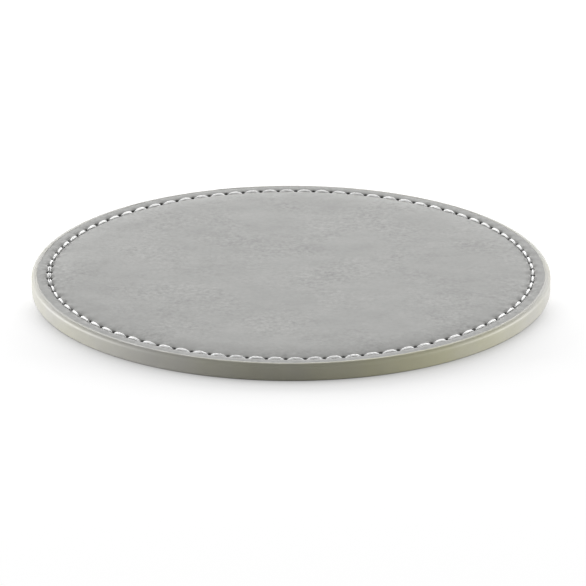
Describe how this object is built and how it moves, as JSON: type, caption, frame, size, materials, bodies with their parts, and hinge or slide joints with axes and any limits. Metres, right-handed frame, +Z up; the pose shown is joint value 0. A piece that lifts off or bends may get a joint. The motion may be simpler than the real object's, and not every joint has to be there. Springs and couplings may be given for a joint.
{
  "type": "wine bottle coaster",
  "caption": "Flat round bottle coaster of grey leather over thin foam and a stiff board, with a painted edge and a ring of white lockstitching set in from the rim.",
  "frame": {"origin": "centre of the underside, on the table", "axes": "+Z up, out of the face that the bottle stands on; the seam's lap lies towards -X, and -Y is the side that the picture shows at the front"},
  "size_m": [0.12, 0.12, 0.0043],
  "materials": {
    "leather": "matte light grey, fine grain",
    "foam": "thin foam sheet",
    "glue": "dried contact cement film",
    "board": "pressed leather fibre board",
    "backing": "napped microfibre",
    "edge_paint": "satin olive grey edge paint",
    "needle_thread": "white bonded thread",
    "bobbin_thread": "white bonded thread"
  },
  "bodies": {
    "root": {"top_leather": "leather", "foam_layer": "foam", "upper_glue": "glue", "core_board": "board", "lower_glue": "glue", "backing": "backing", "edge_paint": "edge_paint", "needle_thread": "needle_thread", "bobbin_thread": "bobbin_thread"}
  },
  "joints": []
}
